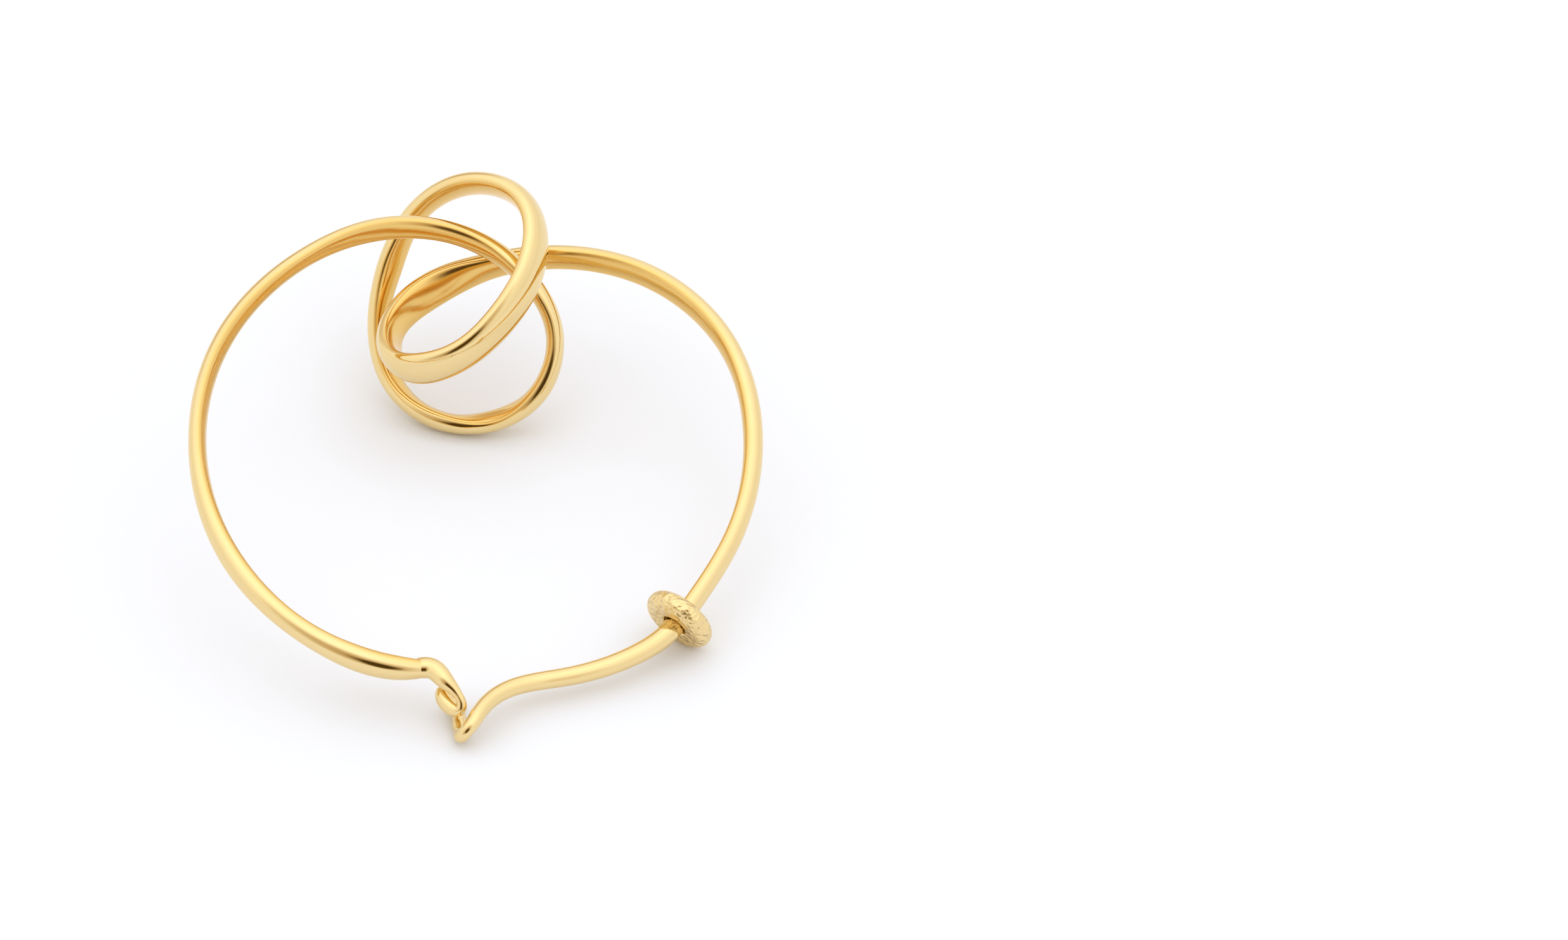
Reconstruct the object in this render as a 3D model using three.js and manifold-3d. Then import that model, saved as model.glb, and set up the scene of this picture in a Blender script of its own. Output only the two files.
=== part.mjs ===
// Drop earring in gold: one forged wire bent into a hoop with a knot of two turns, ending in a small catch
// with a narrow eye; a disc stop that caps the hoop's other end; and a sprung ear wire that leaves a hole in
// the disc and hooks round the catch.
// Millimetres. The pieces are laid out in the hoop's own plane: across to the right, up towards the knot and
// lift off that plane. The last step tips them onto their feet: the knot, the disc stop and the hook.
import * as THREE from 'three';
import { mergeVertices } from 'three/addons/utils/BufferGeometryUtils.js';
import ManifoldModule from 'manifold-3d';

const { clamp, degToRad, lerp } = THREE.MathUtils;

// ---- driving dimensions ----
const HOOP = { sides: 12, ringStep: 0.6, tip: 0.15 };
// The section is a D: the outer face is half an ellipse, the inner face is flatter.
const SECTION = { outerShare: 0.55, innerFlatness: 0.6 };
// Reach of wire, either side of a place, over which the plane of its bend is judged.
const BEND_SPAN = 2.6;
// A wire's tip is rounded down to a small flat: what is left of the section there, and how far along the
// rounding its extra ring stands.
const TIP = { flatShare: 0.6, extraRing: 0.3 };
const CATCH = { sides: 12, ringStep: 0.25, tip: 0.25 };
const EAR_WIRE = { sides: 12, ringStep: 0.3, tip: 0.3 };
const DISC = {
  diameter: 3.9,
  thickness: 1.15,
  dish: 0.08,
  hole: 1.38,
  holeDepth: 0.8,
  rimSteps: 8,
  sides: 28,
};

// Where the disc sits in the hoop's plane, and which way it faces.
const DISC_CENTRE = new THREE.Vector3(10.78, -9.87, 0.0);
const DISC_AXIS = new THREE.Vector3(0.56, 0.8, 0.17).normalize();

// How the hoop's plane leans once the earring lies on its feet.
const KNOT_RAISED = degToRad(15.0);
const RIGHT_LOWERED = degToRad(7.42);

// ---- route of the hoop wire: one row for each bend it passes. Roll is in degrees ----
const HOOP_ROUTE = [
  // plain left side, from the catch up to the knot
  { across: -2.3, up: -13.95, lift: 0.18, width: 0.85, thick: 0.8, roll: 0 },
  { across: -3.5, up: -13.95, lift: 0.05, width: 1.4, thick: 1.15, roll: 0 },
  { across: -7.85, up: -12.75, lift: -0.05, width: 1.4, thick: 1.15, roll: 0 },
  { across: -12.35, up: -8.65, lift: 0.0, width: 1.4, thick: 1.15, roll: -10 },
  { across: -14.6, up: -1.75, lift: 0.0, width: 1.35, thick: 0.95, roll: -20 },
  { across: -13.2, up: 5.75, lift: 0.0, width: 1.2, thick: 0.9, roll: -20 },
  { across: -8.9, up: 11.0, lift: 0.05, width: 1.2, thick: 0.9, roll: -20 },
  { across: -4.45, up: 13.25, lift: -0.15, width: 1.35, thick: 0.9, roll: -20 },
  // first turn of the knot: down its right side, round its foot and up its left side
  { across: -0.3, up: 13.05, lift: -0.35, width: 1.2, thick: 1.0, roll: -25 },
  { across: 2.75, up: 11.2, lift: -0.85, width: 1.4, thick: 1.05, roll: -20 },
  { across: 4.5, up: 8.8, lift: -2.2, width: 1.4, thick: 0.95, roll: -15 },
  { across: 4.05, up: 6.35, lift: -4.3, width: 1.5, thick: 1.05, roll: -15 },
  { across: 1.8, up: 5.45, lift: -6.3, width: 1.4, thick: 1.0, roll: -10 },
  { across: -1.05, up: 5.75, lift: -7.0, width: 1.5, thick: 1.05, roll: -10 },
  { across: -3.5, up: 7.75, lift: -6.9, width: 1.4, thick: 1.0, roll: -15 },
  { across: -4.45, up: 10.35, lift: -5.75, width: 1.3, thick: 1.0, roll: -20 },
  { across: -4.1, up: 13.1, lift: -3.9, width: 1.6, thick: 1.05, roll: -15 },
  // second turn: over the top, down in front as the broad band, and back behind it
  { across: -2.85, up: 15.35, lift: -1.7, width: 1.7, thick: 1.05, roll: -10 },
  { across: -0.25, up: 16.05, lift: 0.35, width: 2.0, thick: 1.05, roll: -5 },
  { across: 2.55, up: 14.05, lift: 1.65, width: 2.2, thick: 1.1, roll: 0 },
  { across: 2.85, up: 10.45, lift: 1.4, width: 2.3, thick: 1.05, roll: 0 },
  { across: 1.35, up: 7.7, lift: 0.1, width: 2.35, thick: 1.05, roll: 0 },
  { across: -0.95, up: 6.15, lift: -1.6, width: 2.4, thick: 1.05, roll: 0 },
  { across: -3.55, up: 6.7, lift: -3.35, width: 2.3, thick: 1.1, roll: -5 },
  { across: -3.95, up: 9.3, lift: -4.15, width: 1.85, thick: 1.1, roll: -12 },
  { across: -2.2, up: 11.65, lift: -4.0, width: 2.0, thick: 1.1, roll: -15 },
  { across: 0.6, up: 12.85, lift: -3.0, width: 1.7, thick: 1.1, roll: -20 },
  // plain right side, from the knot down to the disc stop
  { across: 4.7, up: 13.1, lift: -1.65, width: 1.4, thick: 1.0, roll: -30 },
  { across: 9.25, up: 11.65, lift: -0.55, width: 1.4, thick: 1.0, roll: -25 },
  { across: 13.35, up: 7.45, lift: 0.05, width: 1.35, thick: 1.05, roll: -10 },
  { across: 14.75, up: 0.85, lift: 0.05, width: 1.3, thick: 1.05, roll: 10 },
  { across: 13.65, up: -4.65, lift: 0.0, width: 1.3, thick: 0.95, roll: 10 },
  { across: 11.18, up: -9.31, lift: -0.13, width: 1.2, thick: 0.95, roll: 10 },
];

// ---- route of the catch: out of the hoop wire's end, round a narrow eye and back to an open tip ----
const CATCH_ROUTE = [
  { across: -3.3, up: -13.94, lift: 0.07, diameter: 0.9 },
  { across: -2.9, up: -13.94, lift: 0.12, diameter: 1.1 },
  { across: -2.4, up: -13.97, lift: 0.22, diameter: 1.12 },
  { across: -2.08, up: -14.17, lift: 0.3, diameter: 1.1 },
  { across: -1.79, up: -14.51, lift: 0.35, diameter: 1.04 },
  { across: -1.48, up: -14.88, lift: 0.36, diameter: 0.88 },
  { across: -1.14, up: -15.2, lift: 0.3, diameter: 0.64 },
  { across: -0.86, up: -15.54, lift: 0.2, diameter: 0.5 },
  { across: -0.69, up: -15.84, lift: 0.02, diameter: 0.52 },
  { across: -0.72, up: -16.04, lift: -0.25, diameter: 0.62 },
  { across: -1.0, up: -15.94, lift: -0.5, diameter: 0.78 },
  { across: -1.33, up: -15.59, lift: -0.62, diameter: 0.88 },
  { across: -1.54, up: -15.24, lift: -0.64, diameter: 0.88 },
  { across: -1.59, up: -14.9, lift: -0.64, diameter: 0.8 },
  { across: -1.53, up: -14.58, lift: -0.62, diameter: 0.68 },
];

// ---- route of the ear wire: from inside the disc, along the bottom and round under the catch ----
const EAR_ROUTE = [
  { across: 10.85, up: -9.78, lift: 0.03, diameter: 1.12 },
  { across: 10.3, up: -10.55, lift: -0.09, diameter: 1.13 },
  { across: 8.45, up: -12.1, lift: -0.2, diameter: 1.08 },
  { across: 5.05, up: -13.5, lift: -0.45, diameter: 1.0 },
  { across: 1.7, up: -14.65, lift: -0.35, diameter: 0.92 },
  { across: 0.7, up: -15.6, lift: -0.1, diameter: 0.88 },
  { across: 0.22, up: -16.35, lift: 0.05, diameter: 0.83 },
  { across: -0.12, up: -17.0, lift: 0.05, diameter: 0.76 },
  { across: -0.4, up: -17.35, lift: -0.15, diameter: 0.72 },
  { across: -0.61, up: -17.45, lift: -0.55, diameter: 0.74 },
  { across: -0.62, up: -17.0, lift: -1.02, diameter: 0.76 },
  { across: -0.65, up: -16.45, lift: -1.22, diameter: 0.77 },
  { across: -0.65, up: -15.9, lift: -1.42, diameter: 0.76 },
  { across: -0.75, up: -15.2, lift: -1.56, diameter: 0.75 },
  { across: -0.9, up: -14.6, lift: -1.56, diameter: 0.74 },
  { across: -1.0, up: -14.3, lift: -1.52, diameter: 0.72 },
];

// ---- smooth curve through the rows of a route ----
// Natural cubic spline, its bends found by one forward and one backward sweep along the knots.
function naturalSpline(knots, values) {
  const last = knots.length - 1;
  const bend = new Array(last + 1).fill(0);
  const carry = new Array(last + 1).fill(0);
  for (let i = 1; i < last; i += 1) {
    const before = knots[i] - knots[i - 1];
    const after = knots[i + 1] - knots[i];
    const weight = before / (before + after);
    const pivot = weight * bend[i - 1] + 2;
    const change = (values[i + 1] - values[i]) / after - (values[i] - values[i - 1]) / before;
    bend[i] = (weight - 1) / pivot;
    carry[i] = ((6 * change) / (before + after) - weight * carry[i - 1]) / pivot;
  }
  for (let i = last - 1; i >= 0; i -= 1) {
    bend[i] = bend[i] * bend[i + 1] + carry[i];
  }
  return (place) => {
    let i = 0;
    while (i < last - 1 && place > knots[i + 1]) {
      i += 1;
    }
    const span = knots[i + 1] - knots[i];
    const a = (knots[i + 1] - place) / span;
    const b = 1 - a;
    const cubic = (a ** 3 - a) * bend[i] + (b ** 3 - b) * bend[i + 1];
    return a * values[i] + b * values[i + 1] + (cubic * span * span) / 6;
  };
}

function routeCurve(rows) {
  const corners = rows.map((row) => new THREE.Vector3(row.across, row.up, row.lift));
  const knots = [0];
  for (let i = 1; i < corners.length; i += 1) {
    knots.push(knots[i - 1] + corners[i].distanceTo(corners[i - 1]));
  }
  const columns = {};
  for (const column of Object.keys(rows[0])) {
    columns[column] = naturalSpline(knots, rows.map((row) => row[column]));
  }
  const read = (column, place) => columns[column](place);
  const pointAt = (place) => new THREE.Vector3(read('across', place), read('up', place), read('lift', place));
  const nearby = 0.02;
  const tangentAt = (place) => pointAt(place + nearby).sub(pointAt(place - nearby)).normalize();
  return { length: knots[knots.length - 1], read, pointAt, tangentAt };
}

// ---- wires: closed solids swept along a curve ----
// Places along a curve at an even step, with one closer place at each end for the rounded tips.
function placesAlong(length, step, tip) {
  const inner = Math.round((length - 2 * tip) / step);
  const places = [0, TIP.extraRing * tip];
  for (let i = 0; i <= inner; i += 1) {
    places.push(tip + (i / inner) * (length - 2 * tip));
  }
  places.push(length - TIP.extraRing * tip, length);
  return places;
}

// Share of the full section that is left at a place close to a rounded tip.
function tipShare(place, length, tip) {
  const fromEnd = Math.min(place, length - place);
  const missing = Math.max(0, 1 - fromEnd / tip);
  return lerp(TIP.flatShare, 1, Math.sqrt(1 - missing * missing));
}

// Rings of points joined by quads and capped at both ends.
function sweep(rings) {
  const sides = rings[0].length;
  const index = [];
  for (let ring = 0; ring < rings.length - 1; ring += 1) {
    for (let side = 0; side < sides; side += 1) {
      const next = (side + 1) % sides;
      const a = ring * sides + side;
      const b = ring * sides + next;
      index.push(a, b, a + sides, b, b + sides, a + sides);
    }
  }
  const end = (rings.length - 1) * sides;
  for (let side = 1; side < sides - 1; side += 1) {
    index.push(0, side + 1, side);
    index.push(end, end + side, end + side + 1);
  }
  const positions = rings.flat().flatMap((point) => point.toArray());
  const geometry = new THREE.BufferGeometry();
  geometry.setAttribute('position', new THREE.Float32BufferAttribute(positions, 3));
  geometry.setIndex(index);
  return geometry;
}

// The hoop wire is bent the easy way: its broad direction is square to the plane of each bend, but for a
// small roll.
function hoopWireGeometry() {
  const curve = routeCurve(HOOP_ROUTE);
  const ringAt = (place) => {
    const middle = clamp(place, BEND_SPAN, curve.length - BEND_SPAN);
    const centre = curve.pointAt(middle);
    const behind = centre.clone().sub(curve.pointAt(middle - BEND_SPAN));
    const ahead = curve.pointAt(middle + BEND_SPAN).sub(centre);
    const tangent = curve.tangentAt(place);
    const broad = behind.cross(ahead);
    broad.addScaledVector(tangent, -broad.dot(tangent)).normalize();
    broad.applyAxisAngle(tangent, degToRad(curve.read('roll', place)));
    const outward = new THREE.Vector3().crossVectors(tangent, broad);
    const share = tipShare(place, curve.length, HOOP.tip);
    const halfWidth = 0.5 * curve.read('width', place) * share;
    const thickness = curve.read('thick', place) * share;
    const outerReach = SECTION.outerShare * thickness;
    const innerReach = (1 - SECTION.outerShare) * thickness;
    const origin = curve.pointAt(place);
    return Array.from({ length: HOOP.sides }, (_, side) => {
      const angle = (2 * Math.PI * side) / HOOP.sides;
      const rise = Math.sin(angle);
      const height = rise > 0 ? outerReach * rise : -innerReach * Math.abs(rise) ** SECTION.innerFlatness;
      return origin.clone()
        .addScaledVector(broad, halfWidth * Math.cos(angle))
        .addScaledVector(outward, height);
    });
  };
  return sweep(placesAlong(curve.length, HOOP.ringStep, HOOP.tip).map(ringAt));
}

// A round wire whose diameter changes along its route. Its flat sides touch the true round from outside.
function roundWireGeometry(rows, wire) {
  const curve = routeCurve(rows);
  let first = new THREE.Vector3(0, 0, 1);
  const ringAt = (place) => {
    const tangent = curve.tangentAt(place);
    first = first.addScaledVector(tangent, -first.dot(tangent)).normalize();
    const second = new THREE.Vector3().crossVectors(tangent, first);
    const inRadius = 0.5 * curve.read('diameter', place) * tipShare(place, curve.length, wire.tip);
    const radius = inRadius / Math.cos(Math.PI / wire.sides);
    const origin = curve.pointAt(place);
    return Array.from({ length: wire.sides }, (_, side) => {
      const angle = (2 * Math.PI * side) / wire.sides;
      return origin.clone()
        .addScaledVector(first, radius * Math.cos(angle))
        .addScaledVector(second, radius * Math.sin(angle));
    });
  };
  return sweep(placesAlong(curve.length, wire.ringStep, wire.tip).map(ringAt));
}

// ---- the disc stop: thick and round, with a half-round rim, dished faces and a blind hole below ----
function discGeometry() {
  const half = DISC.thickness / 2;
  const rimStart = DISC.diameter / 2 - half;
  const hole = DISC.hole / 2;
  const roof = DISC.holeDepth - half;
  const profile = [
    new THREE.Vector2(0, roof),
    new THREE.Vector2(hole, roof),
    new THREE.Vector2(hole, DISC.dish - half),
  ];
  for (let step = 0; step <= DISC.rimSteps; step += 1) {
    const angle = -Math.PI / 2 + (Math.PI * step) / DISC.rimSteps;
    profile.push(new THREE.Vector2(rimStart + half * Math.cos(angle), half * Math.sin(angle)));
  }
  profile.push(new THREE.Vector2(0, half - DISC.dish));
  const geometry = new THREE.LatheGeometry(profile, DISC.sides);
  const turn = new THREE.Quaternion().setFromUnitVectors(new THREE.Vector3(0, 1, 0), DISC_AXIS);
  geometry.applyQuaternion(turn);
  geometry.translate(DISC_CENTRE.x, DISC_CENTRE.y, DISC_CENTRE.z);
  return geometry;
}

// ---- solids and pieces ----
function welded(geometry) {
  geometry.deleteAttribute('normal');
  geometry.deleteAttribute('uv');
  return mergeVertices(geometry, 1e-4);
}

const manifold = await ManifoldModule();
manifold.setup();

function toManifold(geometry) {
  const clean = welded(geometry);
  return new manifold.Manifold(new manifold.Mesh({
    numProp: 3,
    vertProperties: new Float32Array(clean.attributes.position.array),
    triVerts: new Uint32Array(clean.index.array),
  }));
}

function fromManifold(solid) {
  const mesh = solid.getMesh();
  const geometry = new THREE.BufferGeometry();
  geometry.setAttribute('position', new THREE.BufferAttribute(new Float32Array(mesh.vertProperties), 3));
  geometry.setIndex(new THREE.BufferAttribute(new Uint32Array(mesh.triVerts), 1));
  return geometry;
}

const GOLD = { color: 0xe8bd62, metalness: 1, roughness: 0.16 };

function piece(name, geometry) {
  const clean = welded(geometry);
  clean.computeVertexNormals();
  const mesh = new THREE.Mesh(clean, new THREE.MeshStandardMaterial(GOLD));
  mesh.name = name;
  return mesh;
}

// The catch and the hoop are one wire, so they are joined into one solid.
const hoopWire = toManifold(hoopWireGeometry()).add(toManifold(roundWireGeometry(CATCH_ROUTE, CATCH)));

const earring = new THREE.Group();
earring.add(piece('hoop_wire', fromManifold(hoopWire)));
earring.add(piece('stop_disc', discGeometry()));
earring.add(piece('ear_wire', roundWireGeometry(EAR_ROUTE, EAR_WIRE)));

// ---- lay it down: lower the right side, then raise the knot side, and stand the lowest point at zero ----
for (const mesh of earring.children) {
  mesh.geometry.rotateY(RIGHT_LOWERED);
  mesh.geometry.rotateX(KNOT_RAISED);
}
const box = new THREE.Box3().setFromObject(earring);
const middle = box.getCenter(new THREE.Vector3());
for (const mesh of earring.children) {
  mesh.geometry.translate(-middle.x, -middle.y, -box.min.z);
}

export default earring;
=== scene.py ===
"""Drop earring in gold lying on a pale surface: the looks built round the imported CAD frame.

Lengths in the tables are millimetres in the hoop's own plane, as in the CAD source. They are turned and moved
into the row frame, in metres, before anything is built.
"""

import math

import bpy
import numpy as np
from mathutils import Matrix, Vector


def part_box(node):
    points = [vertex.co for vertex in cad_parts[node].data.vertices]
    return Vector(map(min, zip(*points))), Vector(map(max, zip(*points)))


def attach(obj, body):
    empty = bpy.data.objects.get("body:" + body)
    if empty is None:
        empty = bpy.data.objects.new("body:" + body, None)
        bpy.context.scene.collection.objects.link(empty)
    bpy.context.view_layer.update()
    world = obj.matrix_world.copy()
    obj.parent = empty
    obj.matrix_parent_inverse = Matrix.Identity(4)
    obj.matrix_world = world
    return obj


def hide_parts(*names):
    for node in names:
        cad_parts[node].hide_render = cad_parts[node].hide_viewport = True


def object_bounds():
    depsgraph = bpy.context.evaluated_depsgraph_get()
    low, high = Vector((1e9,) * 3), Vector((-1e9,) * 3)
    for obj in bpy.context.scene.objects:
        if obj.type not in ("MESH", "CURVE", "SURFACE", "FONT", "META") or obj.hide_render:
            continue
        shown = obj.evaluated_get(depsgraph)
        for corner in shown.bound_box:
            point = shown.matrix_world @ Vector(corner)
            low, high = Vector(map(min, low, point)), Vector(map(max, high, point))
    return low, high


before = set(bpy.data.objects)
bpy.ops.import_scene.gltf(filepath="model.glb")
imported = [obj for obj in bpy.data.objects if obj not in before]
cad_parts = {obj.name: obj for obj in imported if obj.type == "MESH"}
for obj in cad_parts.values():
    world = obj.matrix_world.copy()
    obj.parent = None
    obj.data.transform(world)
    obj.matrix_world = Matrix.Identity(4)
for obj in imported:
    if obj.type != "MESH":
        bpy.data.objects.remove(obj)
cad_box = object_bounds()
MM = 0.001

# ---- how the earring lies: the lean of the hoop's plane ----
KNOT_RAISED = math.radians(15.0)
RIGHT_LOWERED = math.radians(7.42)
LEAN = Matrix.Rotation(KNOT_RAISED, 3, "X") @ Matrix.Rotation(RIGHT_LOWERED, 3, "Y")

# ---- pieces: driving sizes, as in the CAD ----
# The hoop wire's section is a D: the outer face is half an ellipse, the inner face is flatter.
SECTION = {"outer_share": 0.55, "inner_flatness": 0.6}
# Reach of wire, either side of a place, over which the plane of its bend is judged.
BEND_SPAN = 2.6
# Round the section, the inner face fades in between these sines of the angle towards the inside.
INNER_FADE = (-0.1, 0.4)
# How far each wire is rounded off at its ends, the rings that round it, and the share of the section that is
# left at the last ring.
HOOP_TIP = 0.15
CATCH_TIP = 0.25
EAR_WIRE_TIP = 0.3
TIP_RINGS = 6
TIP_FLAT = 0.02
DISC = {"diameter": 3.9, "thickness": 1.15, "hole": 1.38, "hole_depth": 0.8, "dish": 0.08, "lip": 0.1}
DISC_CENTRE = Vector((10.78, -9.87, 0.0))
DISC_AXIS = Vector((0.56, 0.8, 0.17)).normalized()

# ---- route of the hoop wire: across, up, lift, width, thickness, roll in degrees; rows a few mm apart ----
HOOP_ROUTE = [
    # plain left side, from the catch up to the knot
    (-2.3, -13.95, 0.18, 0.85, 0.8, 0),
    (-3.5, -13.95, 0.05, 1.4, 1.15, 0),
    (-7.85, -12.75, -0.05, 1.4, 1.15, 0),
    (-12.35, -8.65, 0.0, 1.4, 1.15, -10),
    (-14.6, -1.75, 0.0, 1.35, 0.95, -20),
    (-13.2, 5.75, 0.0, 1.2, 0.9, -20),
    (-8.9, 11.0, 0.05, 1.2, 0.9, -20),
    (-4.45, 13.25, -0.15, 1.35, 0.9, -20),
    # first turn of the knot: down its right side, round its foot and up its left side
    (-0.3, 13.05, -0.35, 1.2, 1.0, -25),
    (2.75, 11.2, -0.85, 1.4, 1.05, -20),
    (4.5, 8.8, -2.2, 1.4, 0.95, -15),
    (4.05, 6.35, -4.3, 1.5, 1.05, -15),
    (1.8, 5.45, -6.3, 1.4, 1.0, -10),
    (-1.05, 5.75, -7.0, 1.5, 1.05, -10),
    (-3.5, 7.75, -6.9, 1.4, 1.0, -15),
    (-4.45, 10.35, -5.75, 1.3, 1.0, -20),
    (-4.1, 13.1, -3.9, 1.6, 1.05, -15),
    # second turn: over the top, down in front as the broad band, and back behind it
    (-2.85, 15.35, -1.7, 1.7, 1.05, -10),
    (-0.25, 16.05, 0.35, 2.0, 1.05, -5),
    (2.55, 14.05, 1.65, 2.2, 1.1, 0),
    (2.85, 10.45, 1.4, 2.3, 1.05, 0),
    (1.35, 7.7, 0.1, 2.35, 1.05, 0),
    (-0.95, 6.15, -1.6, 2.4, 1.05, 0),
    (-3.55, 6.7, -3.35, 2.3, 1.1, -5),
    (-3.95, 9.3, -4.15, 1.85, 1.1, -12),
    (-2.2, 11.65, -4.0, 2.0, 1.1, -15),
    (0.6, 12.85, -3.0, 1.7, 1.1, -20),
    # plain right side, from the knot down to the disc stop
    (4.7, 13.1, -1.65, 1.4, 1.0, -30),
    (9.25, 11.65, -0.55, 1.4, 1.0, -25),
    (13.35, 7.45, 0.05, 1.35, 1.05, -10),
    (14.75, 0.85, 0.05, 1.3, 1.05, 10),
    (13.65, -4.65, 0.0, 1.3, 0.95, 10),
    (11.18, -9.31, -0.13, 1.2, 0.95, 10),
]

# ---- route of the catch: across, up, lift, diameter ----
CATCH_ROUTE = [
    (-3.3, -13.94, 0.07, 0.9),
    (-2.9, -13.94, 0.12, 1.1),
    (-2.4, -13.97, 0.22, 1.12),
    (-2.08, -14.17, 0.3, 1.1),
    (-1.79, -14.51, 0.35, 1.04),
    (-1.48, -14.88, 0.36, 0.88),
    (-1.14, -15.2, 0.3, 0.64),
    (-0.86, -15.54, 0.2, 0.5),
    (-0.69, -15.84, 0.02, 0.52),
    (-0.72, -16.04, -0.25, 0.62),
    (-1.0, -15.94, -0.5, 0.78),
    (-1.33, -15.59, -0.62, 0.88),
    (-1.54, -15.24, -0.64, 0.88),
    (-1.59, -14.9, -0.64, 0.8),
    (-1.53, -14.58, -0.62, 0.68),
]

# ---- route of the ear wire: across, up, lift, diameter ----
EAR_ROUTE = [
    (10.85, -9.78, 0.03, 1.12),
    (10.3, -10.55, -0.09, 1.13),
    (8.45, -12.1, -0.2, 1.08),
    (5.05, -13.5, -0.45, 1.0),
    (1.7, -14.65, -0.35, 0.92),
    (0.7, -15.6, -0.1, 0.88),
    (0.22, -16.35, 0.05, 0.83),
    (-0.12, -17.0, 0.05, 0.76),
    (-0.4, -17.35, -0.15, 0.72),
    (-0.61, -17.45, -0.55, 0.74),
    (-0.62, -17.0, -1.02, 0.76),
    (-0.65, -16.45, -1.22, 0.77),
    (-0.65, -15.9, -1.42, 0.76),
    (-0.75, -15.2, -1.56, 0.75),
    (-0.9, -14.6, -1.56, 0.74),
    (-1.0, -14.3, -1.52, 0.72),
]


# ---- smooth curves ----
def natural_spline(knots, values):
    """The natural cubic spline through the values, as a function that reads it anywhere."""
    last = len(knots) - 1
    spans = np.diff(knots)
    system = np.eye(last + 1)
    load = np.zeros((last + 1,) + values.shape[1:])
    for i in range(1, last):
        system[i, i - 1 : i + 2] = spans[i - 1], 2 * (spans[i - 1] + spans[i]), spans[i]
        load[i] = 6 * ((values[i + 1] - values[i]) / spans[i] - (values[i] - values[i - 1]) / spans[i - 1])
    bend = np.linalg.solve(system, load)

    def read(places):
        places = np.atleast_1d(places)
        i = np.clip(np.searchsorted(knots, places) - 1, 0, last - 1)
        span = spans[i][:, None]
        b = ((places - knots[i]) / spans[i])[:, None]
        a = 1 - b
        cubic = (a**3 - a) * bend[i] + (b**3 - b) * bend[i + 1]
        return a * values[i] + b * values[i + 1] + cubic * span * span / 6

    return read


def unit(vectors):
    return vectors / np.linalg.norm(vectors, axis=-1, keepdims=True)


def smoothstep(value, start, end):
    """Smooth rise from 0 at the start to 1 at the end."""
    t = np.clip((value - start) / (end - start), 0, 1)
    return t * t * (3 - 2 * t)


class Route:
    """A smooth curve through the rows of a table, with any further columns read along it."""

    def __init__(self, rows):
        table = np.array(rows)
        corners = table[:, :3]
        steps = np.linalg.norm(np.diff(corners, axis=0), axis=1)
        knots = np.concatenate([[0.0], np.cumsum(steps)])
        self.length = knots[-1]
        self.read = natural_spline(knots, table)

    def points(self, places):
        return self.read(places)[:, :3]

    def tangents(self, places):
        nearby = 0.02
        return unit(self.points(places + nearby) - self.points(places - nearby))


def places_along(length, step, tip):
    """Places along a curve at an even step, closer together where the tips are rounded."""
    rounding = tip * (1 - np.cos(np.linspace(0, math.pi / 2, TIP_RINGS + 1)))
    inner = np.linspace(tip, length - tip, round((length - 2 * tip) / step))
    return np.concatenate([rounding[:-1], inner, length - rounding[-2::-1]])


def tip_share(places, length, tip):
    """Share of the full section that is left at places close to a rounded tip."""
    from_end = np.minimum(places, length - places)
    missing = np.clip(1 - from_end / tip, 0, 1)
    return np.maximum(TIP_FLAT, np.sqrt(1 - missing**2))


# ---- meshes ----
def to_row_frame(points):
    """Points of the hoop's plane in millimetres, as row frame points in metres, kept within the CAD's box."""
    placed = (np.asarray(points) @ np.array(LEAN.transposed()) - STAND) * MM
    return np.clip(placed, *np.array(cad_box))


def mesh_object(name, vertices, faces, inner=None):
    """A smooth mesh. Where inner is given, each vertex keeps its share in the wire's inner face."""
    mesh = bpy.data.meshes.new(name)
    mesh.from_pydata(vertices.tolist(), [], faces)
    mesh.shade_smooth()
    if inner is not None:
        mesh.attributes.new("inner_face", "FLOAT", "POINT").data.foreach_set("value", inner)
    obj = bpy.data.objects.new(name, mesh)
    bpy.context.scene.collection.objects.link(obj)
    return obj


def sweep(rings, inner=0.0):
    """Closed body through rings of points, capped at both ends: its vertices, faces and inner face shares."""
    count, sides = rings.shape[:2]
    faces = []
    for ring in range(count - 1):
        for side in range(sides):
            a = ring * sides + side
            b = ring * sides + (side + 1) % sides
            faces.append((a, b, b + sides, a + sides))
    faces.append(tuple(reversed(range(sides))))
    faces.append(tuple(range((count - 1) * sides, count * sides)))
    return rings.reshape(-1, 3), faces, np.broadcast_to(inner, rings.shape[:2]).ravel()


def joined(*bodies):
    """Several bodies as one."""
    vertices, faces, inner = [], [], []
    start = 0
    for points, polygons, shares in bodies:
        vertices.append(points)
        faces += [tuple(start + i for i in polygon) for polygon in polygons]
        inner.append(shares)
        start += len(points)
    return np.concatenate(vertices), faces, np.concatenate(inner)


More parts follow.
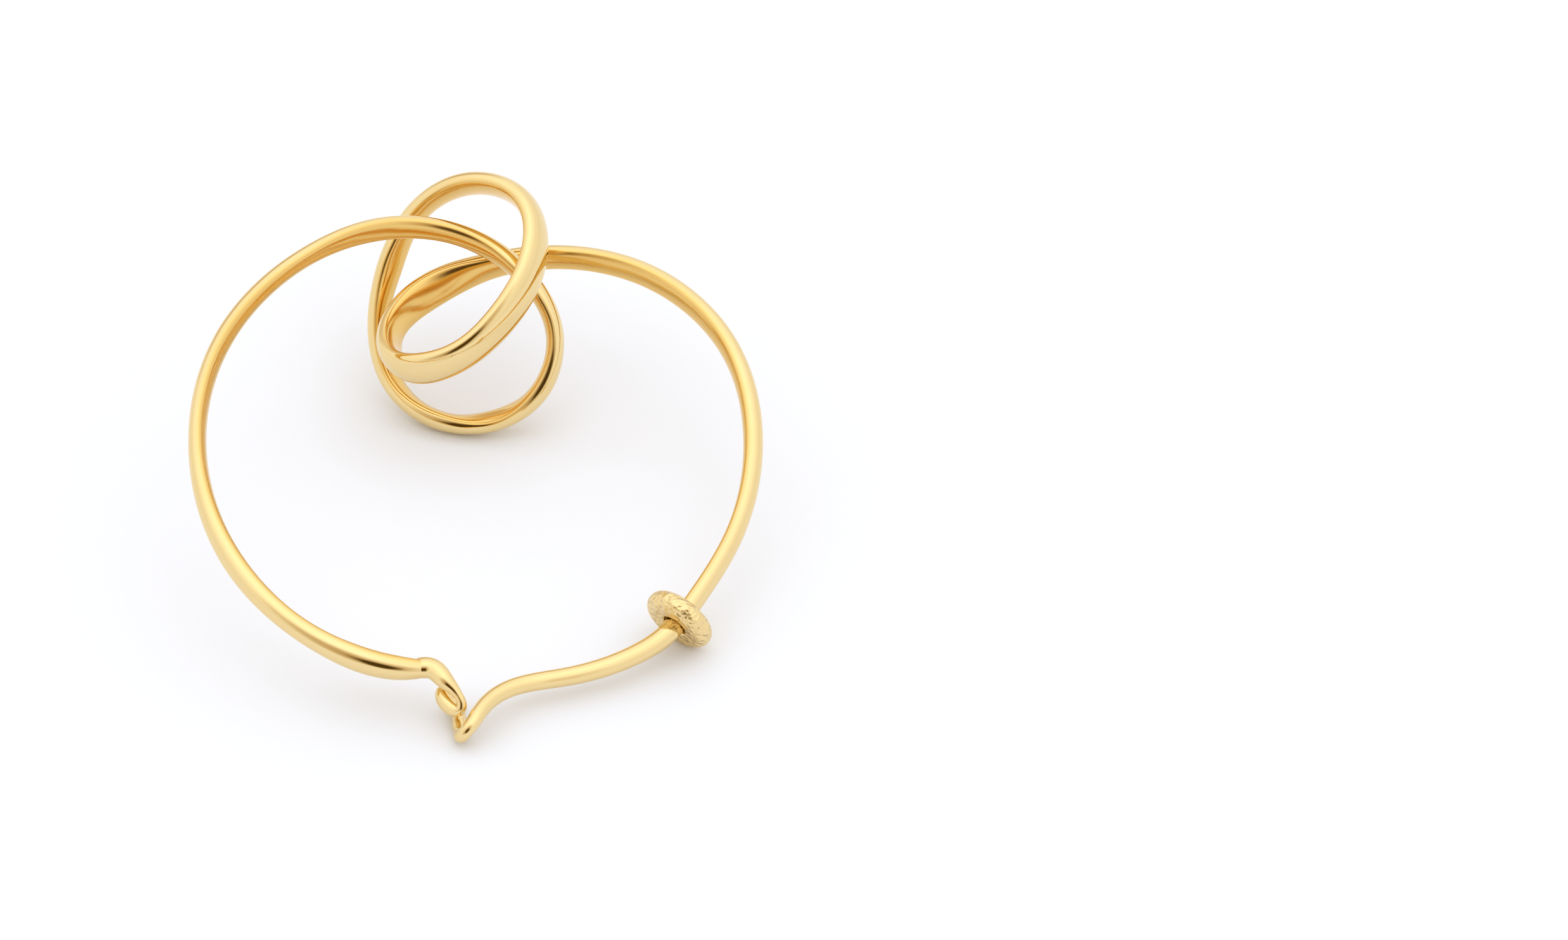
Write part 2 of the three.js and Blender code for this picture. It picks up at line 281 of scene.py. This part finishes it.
def hoop_wire_body(sides=44, step=0.14):
    """The forged wire. Its broad direction is square to the plane of each bend, but for a small roll."""
    route = Route(HOOP_ROUTE)
    places = places_along(route.length, step, HOOP_TIP)
    middle = np.clip(places, BEND_SPAN, route.length - BEND_SPAN)
    centre = route.points(middle)
    behind = centre - route.points(middle - BEND_SPAN)
    ahead = route.points(middle + BEND_SPAN) - centre
    tangent = route.tangents(places)
    square = np.cross(behind, ahead)
    square = unit(square - tangent * np.sum(square * tangent, axis=1, keepdims=True))
    away = np.cross(tangent, square)

    width, thickness, roll = route.read(places)[:, 3:].T
    roll = np.radians(roll)[:, None]
    broad = square * np.cos(roll) + away * np.sin(roll)
    outward = away * np.cos(roll) - square * np.sin(roll)
    share = tip_share(places, route.length, HOOP_TIP)
    half_width = 0.5 * width * share
    outer = SECTION["outer_share"] * thickness * share
    inner = (1 - SECTION["outer_share"]) * thickness * share

    angle = 2 * math.pi * (np.arange(sides) + 0.5) / sides
    rise = np.sin(angle)
    height = np.where(
        rise > 0,
        outer[:, None] * rise,
        -inner[:, None] * np.abs(rise) ** SECTION["inner_flatness"],
    )
    aside = half_width[:, None] * np.cos(angle)
    rings = route.points(places)[:, None] + broad[:, None] * aside[..., None]
    rings = rings + outward[:, None] * height[..., None]
    return sweep(rings, smoothstep(-rise, *INNER_FADE))


def round_wire_body(rows, tip, sides=32, step=0.12):
    """A round wire whose diameter changes along its route."""
    route = Route(rows)
    places = places_along(route.length, step, tip)
    points = route.points(places)
    tangents = route.tangents(places)
    diameter = route.read(places)[:, 3] * tip_share(places, route.length, tip)
    angle = 2 * math.pi * np.arange(sides) / sides
    first = np.array([0.0, 0.0, 1.0])
    rings = []
    for point, tangent, radius in zip(points, tangents, 0.5 * diameter):
        first = unit(first - tangent * first.dot(tangent))
        second = np.cross(tangent, first)
        rings.append(point + radius * (np.outer(np.cos(angle), first) + np.outer(np.sin(angle), second)))
    return sweep(np.array(rings))


def disc_body(sides=96, lip_steps=4, rim_steps=20):
    """A thick round disc with a half-round rim, dished faces and a blind hole for the ear wire."""
    half = DISC["thickness"] / 2
    rim_start = DISC["diameter"] / 2 - half
    hole = DISC["hole"] / 2
    face = half - DISC["dish"]
    lip = DISC["lip"]
    profile = [(hole, DISC["hole_depth"] - half)]
    for turn in np.linspace(0, math.pi / 2, lip_steps + 1):
        profile.append((hole + lip * (1 - math.cos(turn)), lip * (1 - math.sin(turn)) - face))
    for turn in np.linspace(-math.pi / 2, math.pi / 2, rim_steps + 1):
        profile.append((rim_start + half * math.cos(turn), half * math.sin(turn)))
    profile.append((hole, face))
    radius, height = np.array(profile).T
    angle = 2 * math.pi * np.arange(sides) / sides
    flat = np.broadcast_to(height[:, None], (len(profile), sides))
    rings = np.stack([np.outer(radius, np.cos(angle)), np.outer(radius, np.sin(angle)), flat], axis=-1)
    turned = Vector((0, 0, 1)).rotation_difference(DISC_AXIS).to_matrix()
    return sweep(rings @ np.array(turned.transposed()) + np.array(DISC_CENTRE))


# Where the CAD stands the earring: the disc's middle is in the middle of its box.
low, high = (np.array(corner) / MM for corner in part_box("stop_disc"))
STAND = np.array(LEAN @ DISC_CENTRE) - (low + high) / 2

# ---- gold ----
# Linear colour of the polished gold, of its slightly redder patches and of the wire's inner face.
# The inner face's deeper orange is painted reflection of the gold facing it and painted shade.
GOLD = {
    "polished": (0.87, 0.68, 0.345, 1),
    "redder": (0.86, 0.65, 0.30, 1),
    "inner": (0.83, 0.55, 0.18, 1),
}
# How much rougher the inner face is than the rest.
INNER_DULLNESS = 0.12
# Noises that vary the metal: features for each millimetre, and detail. A smear of duller polish starts at one
# noise value and is full at another. The grain's depth is in millimetres.
SMEARS = {"per_mm": 0.45, "detail": 3, "start": 0.35, "full": 0.7, "dullness": 0.05}
PATCHES = {"per_mm": 0.3, "detail": 2}
GRAIN = {"per_mm": 14, "detail": 3, "depth": 0.002, "strength": 0.25}
MARK_DETAIL = 1


def gold(name, marks_per_mm, mark_depth, roughness):
    """Gold with soft marks, a fine brushed grain and slight smears of duller polish. The depth is in mm."""
    material = bpy.data.materials.new(name)
    material.use_nodes = True
    nodes = material.node_tree.nodes
    links = material.node_tree.links
    shader = nodes["Principled BSDF"]
    shader.inputs["Metallic"].default_value = 1.0
    where = nodes.new("ShaderNodeTexCoord").outputs["Object"]

    def noise(per_mm, detail):
        node = nodes.new("ShaderNodeTexNoise")
        node.inputs["Scale"].default_value = per_mm / MM
        node.inputs["Detail"].default_value = detail
        links.new(where, node.inputs["Vector"])
        return node.outputs["Fac"]

    smears = nodes.new("ShaderNodeMapRange")
    smears.inputs["From Min"].default_value = SMEARS["start"]
    smears.inputs["From Max"].default_value = SMEARS["full"]
    smears.inputs["To Min"].default_value = roughness
    smears.inputs["To Max"].default_value = roughness + SMEARS["dullness"]
    links.new(noise(SMEARS["per_mm"], SMEARS["detail"]), smears.inputs["Value"])
    inner_face = nodes.new("ShaderNodeAttribute")
    inner_face.attribute_name = "inner_face"
    duller = nodes.new("ShaderNodeMath")
    duller.operation = "MULTIPLY_ADD"
    duller.inputs[1].default_value = INNER_DULLNESS
    links.new(inner_face.outputs["Fac"], duller.inputs[0])
    links.new(smears.outputs["Result"], duller.inputs[2])
    links.new(duller.outputs["Value"], shader.inputs["Roughness"])

    patches = nodes.new("ShaderNodeMix")
    patches.data_type = "RGBA"
    patches.inputs["A"].default_value = GOLD["polished"]
    patches.inputs["B"].default_value = GOLD["redder"]
    links.new(noise(PATCHES["per_mm"], PATCHES["detail"]), patches.inputs["Factor"])
    # The inner face is tinted deeper orange: painted reflection of the facing gold and painted shade.
    inner_reflection_and_shade_tint = nodes.new("ShaderNodeMix")
    inner_reflection_and_shade_tint.data_type = "RGBA"
    inner_reflection_and_shade_tint.inputs["B"].default_value = GOLD["inner"]
    links.new(inner_face.outputs["Fac"], inner_reflection_and_shade_tint.inputs["Factor"])
    links.new(patches.outputs["Result"], inner_reflection_and_shade_tint.inputs["A"])
    links.new(inner_reflection_and_shade_tint.outputs["Result"], shader.inputs["Base Color"])

    marks = nodes.new("ShaderNodeBump")
    marks.inputs["Strength"].default_value = 1.0
    marks.inputs["Distance"].default_value = mark_depth * MM
    links.new(noise(marks_per_mm, MARK_DETAIL), marks.inputs["Height"])
    grain = nodes.new("ShaderNodeBump")
    grain.inputs["Strength"].default_value = GRAIN["strength"]
    grain.inputs["Distance"].default_value = GRAIN["depth"] * MM
    links.new(noise(GRAIN["per_mm"], GRAIN["detail"]), grain.inputs["Height"])
    links.new(marks.outputs["Normal"], grain.inputs["Normal"])
    links.new(grain.outputs["Normal"], shader.inputs["Normal"])
    return material


# The wires have broad, shallow hammer marks. The disc is duller and pitted all over.
polished = gold("polished_gold", marks_per_mm=0.55, mark_depth=0.03, roughness=0.025)
worn = gold("worn_gold", marks_per_mm=2.8, mark_depth=0.2, roughness=0.24)

# ---- pieces ----
PIECES = {
    "hoop_wire": joined(hoop_wire_body(), round_wire_body(CATCH_ROUTE, CATCH_TIP)),
    "stop_disc": disc_body(),
    "ear_wire": round_wire_body(EAR_ROUTE, EAR_WIRE_TIP),
}
for node, (points, faces, inner) in PIECES.items():
    piece = mesh_object(node + "_polished", to_row_frame(points), faces, inner)
    piece.data.materials.append(worn if node == "stop_disc" else polished)
    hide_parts(node)
    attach(piece, "root")

# ---- floor: a wide sheet of white paper, slightly cool ----
FLOOR_REACH = 0.6
PAPER = {"colour": (0.91, 0.935, 1.0, 1), "roughness": 0.9, "specular": 0.1}
floor = mesh_object(
    "pale_floor",
    np.array([(-1, -1, 0), (1, -1, 0), (1, 1, 0), (-1, 1, 0)]) * FLOOR_REACH,
    [(0, 1, 2, 3)],
)
paper = bpy.data.materials.new("pale_paper")
paper.use_nodes = True
paper_shader = paper.node_tree.nodes["Principled BSDF"]
paper_shader.inputs["Base Color"].default_value = PAPER["colour"]
paper_shader.inputs["Roughness"].default_value = PAPER["roughness"]
paper_shader.inputs["Specular IOR Level"].default_value = PAPER["specular"]
floor.data.materials.append(paper)

# ---- light: a white tent, brighter overhead, with a dark opening in front, below the camera ----
# Height above the surface in degrees, and the tent's radiance there.
TENT = [(0, 0.97), (30, 1.07), (60, 1.28), (90, 1.45)]
# Patches that differ, in degrees: each has its own colour out to the core, and fades out at the edge.
TENT_PATCHES = [
    # the dim front of the tent, round the opening
    {"azimuth": -170, "elevation": 24, "core": 5, "edge": 44, "colour": (0.62, 0.48, 0.30)},
    # the opening itself
    {"azimuth": -174, "elevation": 22, "core": 10, "edge": 22, "colour": (0.08, 0.05, 0.015)},
    # the low wall behind the earring
    {"azimuth": -22, "elevation": 8, "core": 6, "edge": 30, "colour": (0.75, 0.62, 0.48)},
]

world = bpy.data.worlds.new("tent")
world.use_nodes = True
bpy.context.scene.world = world


def compass(azimuth, elevation):
    """Unit direction: azimuth 0 is +Y and 90 is +X, elevation is above the surface, in degrees."""
    azimuth, elevation = math.radians(azimuth), math.radians(elevation)
    flat = math.cos(elevation)
    return Vector((flat * math.sin(azimuth), flat * math.cos(azimuth), math.sin(elevation)))


def tent_colour(nodes, links):
    """Socket with the tent's colour in each direction."""
    direction = nodes.new("ShaderNodeTexCoord").outputs["Generated"]
    height = nodes.new("ShaderNodeSeparateXYZ")
    links.new(direction, height.inputs["Vector"])
    ramp = nodes.new("ShaderNodeValToRGB")
    ramp.color_ramp.interpolation = "EASE"
    stops = ramp.color_ramp.elements
    # The new stops start in the middle and are moved to their own heights below.
    while len(stops) < len(TENT):
        stops.new(0.5)
    for stop, (elevation, radiance) in zip(stops, TENT):
        stop.position = math.sin(math.radians(elevation))
        stop.color = (radiance, radiance, radiance, 1)
    links.new(height.outputs["Z"], ramp.inputs["Fac"])
    colour = ramp.outputs["Color"]
    for patch in TENT_PATCHES:
        facing = nodes.new("ShaderNodeVectorMath")
        facing.operation = "DOT_PRODUCT"
        facing.inputs[1].default_value = compass(patch["azimuth"], patch["elevation"])
        links.new(direction, facing.inputs[0])
        share = nodes.new("ShaderNodeMapRange")
        share.interpolation_type = "SMOOTHSTEP"
        share.inputs["From Min"].default_value = math.cos(math.radians(patch["edge"]))
        share.inputs["From Max"].default_value = math.cos(math.radians(patch["core"]))
        links.new(facing.outputs["Value"], share.inputs["Value"])
        mix = nodes.new("ShaderNodeMix")
        mix.data_type = "RGBA"
        mix.inputs["B"].default_value = (*patch["colour"], 1)
        links.new(share.outputs["Result"], mix.inputs["Factor"])
        links.new(colour, mix.inputs["A"])
        colour = mix.outputs["Result"]
    return colour


tree = world.node_tree
tree.links.new(tent_colour(tree.nodes, tree.links), tree.nodes["Background"].inputs["Color"])

# ---- camera: in front of the earring and above it, with the earring in the left half of the frame ----
# Distance and clip are in metres, lens and sensor in millimetres, and shift is a share of the frame's width.
CAMERA = {
    "elevation": math.radians(43.42),
    "distance": 0.6,
    "lens": 261.8,
    "sensor": 36,
    "shift": (0.199, -0.017),
    "clip": (0.01, 5),
}
AIM = Vector((-0.252, 0.759, 5.565)) * MM
camera_data = bpy.data.cameras.new("camera")
camera_data.lens = CAMERA["lens"]
camera_data.sensor_width = CAMERA["sensor"]
camera_data.shift_x, camera_data.shift_y = CAMERA["shift"]
camera_data.clip_start, camera_data.clip_end = CAMERA["clip"]
camera = bpy.data.objects.new("camera", camera_data)
away = Vector((0, -math.cos(CAMERA["elevation"]), math.sin(CAMERA["elevation"])))
camera.location = AIM + away * CAMERA["distance"]
camera.rotation_euler = away.to_track_quat("Z", "Y").to_euler()
bpy.context.scene.collection.objects.link(camera)
bpy.context.scene.camera = camera
bpy.context.scene.view_settings.view_transform = "Standard"
